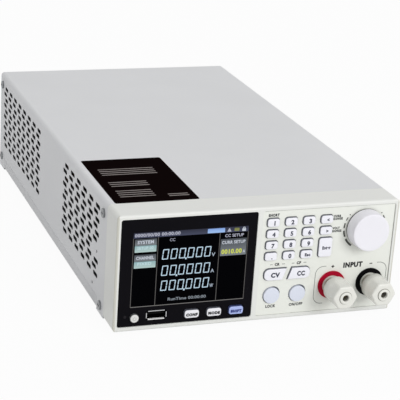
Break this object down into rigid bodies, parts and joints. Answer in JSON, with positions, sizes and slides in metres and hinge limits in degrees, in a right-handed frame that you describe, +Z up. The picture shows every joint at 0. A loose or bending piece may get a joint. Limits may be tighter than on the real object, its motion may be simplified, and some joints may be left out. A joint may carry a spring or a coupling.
{
  "type": "dc electronic load",
  "caption": "Bench DC electronic load: slotted steel case, display, keypad, rotary knob, screw-down binding posts with plug sockets, and a fan-cooled power stage inside.",
  "frame": {"origin": "on the ground, under the middle of the whole outline", "axes": "+Z up, -Y out of the front panel, +X to the right seen from the front"},
  "size_m": [0.1886, 0.3544, 0.0793],
  "materials": {
    "frame_plastic": "fine moulded texture",
    "panel_plastic": "satin overlay",
    "window_black": "polished",
    "display": "framed display",
    "board_green": "solder mask",
    "mat_rubber": "moulded",
    "socket_steel": "plated",
    "light_lens": "clear lens, unlit",
    "encoder_metal": "plated",
    "ring_red": "moulded",
    "ring_black": "moulded",
    "stud_brass": "nickel over brass",
    "bus_copper": "bare copper",
    "cover_paint": "fine powder coat",
    "tray_paint": "fine powder coat",
    "foot_rubber": "moulded",
    "screw_steel": "zinc plated",
    "transformer_wrap": "laminations and tape",
    "capacitor_sleeve": "shrink sleeve",
    "sink_aluminium": "extruded",
    "black_plastic": "moulded",
    "guard_wire": "plated wire",
    "cable_grey": "extruded",
    "lead_brown": "extruded",
    "knob_white": "satin",
    "cap_ivory": "moulded",
    "key_white": "satin silicone",
    "key_pale": "translucent silicone",
    "soft_white": "satin",
    "soft_blue": "satin"
  },
  "bodies": {
    "case": {"front_frame": "frame_plastic", "control_panel": "panel_plastic", "display_window": "window_black", "lcd_module": "display", "front_board": "board_green", "main_board": "board_green", "key_mat": "mat_rubber", "data_socket": "socket_steel", "serial_socket": "socket_steel", "status_light": "light_lens", "encoder_body": "encoder_metal", "ring_positive": "ring_red", "ring_negative": "ring_black", "post_studs": "stud_brass", "stud_nuts": "stud_brass", "bus_bars": "bus_copper", "top_cover": "cover_paint", "bottom_tray": "tray_paint", "rear_panel": "tray_paint", "feet": "foot_rubber", "screws": "screw_steel", "transformer": "transformer_wrap", "capacitors": "capacitor_sleeve", "heatsink": "sink_aluminium", "power_transistors": "black_plastic", "fan_frame": "black_plastic", "mains_inlet": "black_plastic", "fan_guard": "guard_wire", "ribbon_cable": "cable_grey", "mains_leads": "lead_brown"},
    "knob": {"control_knob": "knob_white", "encoder_shaft": "encoder_metal"},
    "fan_rotor": {"fan_rotor": "black_plastic"},
    "key_1": {"key_1": "key_white"},
    "key_2": {"key_2": "key_white"},
    "key_3": {"key_3": "key_white"},
    "key_4": {"key_4": "key_white"},
    "key_5": {"key_5": "key_white"},
    "key_6": {"key_6": "key_white"},
    "key_7": {"key_7": "key_white"},
    "key_8": {"key_8": "key_white"},
    "key_9": {"key_9": "key_white"},
    "key_0": {"key_0": "key_white"},
    "key_left": {"key_left": "key_white"},
    "key_right": {"key_right": "key_white"},
    "key_point": {"key_point": "key_white"},
    "key_esc": {"key_esc": "key_white"},
    "key_enter": {"key_enter": "key_white"},
    "key_cv": {"key_cv": "key_white"},
    "key_cc": {"key_cc": "key_white"},
    "key_lock": {"key_lock": "key_pale"},
    "key_on_off": {"key_on_off": "key_pale"},
    "soft_key_1": {"soft_key_1": "soft_white"},
    "soft_key_2": {"soft_key_2": "soft_white"},
    "soft_key_3": {"soft_key_3": "soft_blue"},
    "power_key": {"power_key": "soft_white"},
    "insert_positive": {"insert_positive": "stud_brass"},
    "cap_positive": {"cap_positive": "cap_ivory"},
    "insert_negative": {"insert_negative": "stud_brass"},
    "cap_negative": {"cap_negative": "cap_ivory"}
  },
  "joints": [
    {"name": "key_1_press", "type": "slide", "parent": "case", "child": "key_1", "axis": [0, 1, 0], "range_m": [0, 0.0012], "stiffness_N_per_m": 400},
    {"name": "key_2_press", "type": "slide", "parent": "case", "child": "key_2", "axis": [0, 1, 0], "range_m": [0, 0.0012], "stiffness_N_per_m": 400},
    {"name": "key_3_press", "type": "slide", "parent": "case", "child": "key_3", "axis": [0, 1, 0], "range_m": [0, 0.0012], "stiffness_N_per_m": 400},
    {"name": "key_4_press", "type": "slide", "parent": "case", "child": "key_4", "axis": [0, 1, 0], "range_m": [0, 0.0012], "stiffness_N_per_m": 400},
    {"name": "key_5_press", "type": "slide", "parent": "case", "child": "key_5", "axis": [0, 1, 0], "range_m": [0, 0.0012], "stiffness_N_per_m": 400},
    {"name": "key_6_press", "type": "slide", "parent": "case", "child": "key_6", "axis": [0, 1, 0], "range_m": [0, 0.0012], "stiffness_N_per_m": 400},
    {"name": "key_7_press", "type": "slide", "parent": "case", "child": "key_7", "axis": [0, 1, 0], "range_m": [0, 0.0012], "stiffness_N_per_m": 400},
    {"name": "key_8_press", "type": "slide", "parent": "case", "child": "key_8", "axis": [0, 1, 0], "range_m": [0, 0.0012], "stiffness_N_per_m": 400},
    {"name": "key_9_press", "type": "slide", "parent": "case", "child": "key_9", "axis": [0, 1, 0], "range_m": [0, 0.0012], "stiffness_N_per_m": 400},
    {"name": "key_0_press", "type": "slide", "parent": "case", "child": "key_0", "axis": [0, 1, 0], "range_m": [0, 0.0012], "stiffness_N_per_m": 400},
    {"name": "key_left_press", "type": "slide", "parent": "case", "child": "key_left", "axis": [0, 1, 0], "range_m": [0, 0.0012], "stiffness_N_per_m": 400},
    {"name": "key_right_press", "type": "slide", "parent": "case", "child": "key_right", "axis": [0, 1, 0], "range_m": [0, 0.0012], "stiffness_N_per_m": 400},
    {"name": "key_point_press", "type": "slide", "parent": "case", "child": "key_point", "axis": [0, 1, 0], "range_m": [0, 0.0012], "stiffness_N_per_m": 400},
    {"name": "key_esc_press", "type": "slide", "parent": "case", "child": "key_esc", "axis": [0, 1, 0], "range_m": [0, 0.0012], "stiffness_N_per_m": 400},
    {"name": "key_enter_press", "type": "slide", "parent": "case", "child": "key_enter", "axis": [0, 1, 0], "range_m": [0, 0.0012], "stiffness_N_per_m": 400},
    {"name": "key_cv_press", "type": "slide", "parent": "case", "child": "key_cv", "axis": [0, 1, 0], "range_m": [0, 0.0012], "stiffness_N_per_m": 400},
    {"name": "key_cc_press", "type": "slide", "parent": "case", "child": "key_cc", "axis": [0, 1, 0], "range_m": [0, 0.0012], "stiffness_N_per_m": 400},
    {"name": "key_lock_press", "type": "slide", "parent": "case", "child": "key_lock", "axis": [0, 1, 0], "range_m": [0, 0.0012], "stiffness_N_per_m": 400},
    {"name": "key_on_off_press", "type": "slide", "parent": "case", "child": "key_on_off", "axis": [0, 1, 0], "range_m": [0, 0.0012], "stiffness_N_per_m": 400},
    {"name": "soft_key_1_press", "type": "slide", "parent": "case", "child": "soft_key_1", "axis": [0, 1, 0], "range_m": [0, 0.0012], "stiffness_N_per_m": 400},
    {"name": "soft_key_2_press", "type": "slide", "parent": "case", "child": "soft_key_2", "axis": [0, 1, 0], "range_m": [0, 0.0012], "stiffness_N_per_m": 400},
    {"name": "soft_key_3_press", "type": "slide", "parent": "case", "child": "soft_key_3", "axis": [0, 1, 0], "range_m": [0, 0.0012], "stiffness_N_per_m": 400},
    {"name": "power_key_press", "type": "slide", "parent": "case", "child": "power_key", "axis": [0, 1, 0], "range_m": [0, 0.0012], "stiffness_N_per_m": 400},
    {"name": "knob_turn", "type": "hinge", "parent": "case", "child": "knob", "pos_m": [0.0702, -0.15475, 0.0615], "axis": [0, 1, 0], "continuous": true},
    {"name": "fan_spin", "type": "hinge", "parent": "case", "child": "fan_rotor", "pos_m": [0, 0.15525, 0.0381], "axis": [0, 1, 0], "continuous": true},
    {"name": "cap_positive_lift", "type": "slide", "parent": "case", "child": "insert_positive", "axis": [0, -1, 0], "range_m": [-0.005, 0]},
    {"name": "cap_positive_turn", "type": "hinge", "parent": "insert_positive", "child": "cap_positive", "pos_m": [0.0508, -0.16775, 0.024], "axis": [0, -1, 0], "range_deg": [-1801, 0]},
    {"name": "cap_negative_lift", "type": "slide", "parent": "case", "child": "insert_negative", "axis": [0, -1, 0], "range_m": [-0.005, 0]},
    {"name": "cap_negative_turn", "type": "hinge", "parent": "insert_negative", "child": "cap_negative", "pos_m": [0.0772, -0.16775, 0.024], "axis": [0, -1, 0], "range_deg": [-1801, 0]}
  ],
  "couplings": [
    {"joint": "cap_positive_turn", "follows": "cap_positive_lift", "rad_per_m": 6283.2},
    {"joint": "cap_negative_turn", "follows": "cap_negative_lift", "rad_per_m": 6283.2}
  ]
}
